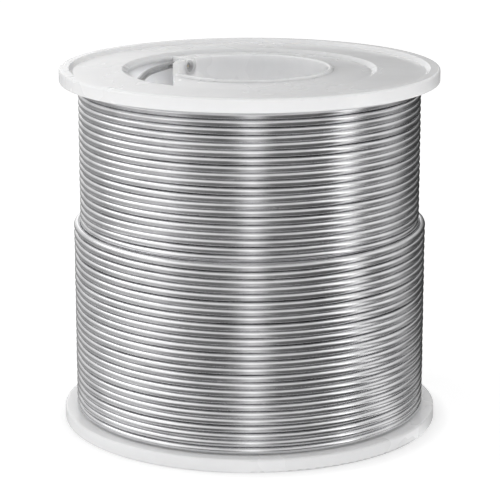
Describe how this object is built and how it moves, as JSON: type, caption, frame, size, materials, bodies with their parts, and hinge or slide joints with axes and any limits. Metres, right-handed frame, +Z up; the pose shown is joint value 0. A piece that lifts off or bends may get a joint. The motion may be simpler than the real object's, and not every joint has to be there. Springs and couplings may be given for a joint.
{
  "type": "solder wire spool",
  "caption": "Translucent plastic spool with shallow recessed flanges and a through arbor tube, wound with bright flux-cored solder wire whose outer layer covers the lower half.",
  "frame": {"origin": "middle of the plane that the spool stands on, on the arbor tube's axis", "axes": "+Z up along the arbor tube's axis; the window for the wire's first end is on the -X side of the upper flange; the side shown to a viewer is -Y"},
  "size_m": [0.063, 0.063, 0.06],
  "materials": {
    "natural_plastic": "translucent natural moulding, satin",
    "eyelet_plastic": "translucent natural tube, glossy",
    "solder": "drawn tin alloy, bright, fine lengthwise draw marks",
    "flux": "hard rosin, dull amber"
  },
  "bodies": {
    "root": {"upper_flange": "natural_plastic", "lower_flange": "natural_plastic", "winding_barrel": "natural_plastic", "arbor_tube": "natural_plastic", "wire_eyelet": "eyelet_plastic", "solder_layer_1": "solder", "solder_layer_2": "solder", "solder_layer_3": "solder", "solder_layer_4": "solder", "solder_layer_5": "solder", "solder_layer_6": "solder", "solder_layer_7": "solder", "solder_layer_8": "solder", "start_lead": "solder", "start_flux_core": "flux", "end_lead": "solder", "end_flux_core": "flux"}
  },
  "joints": []
}
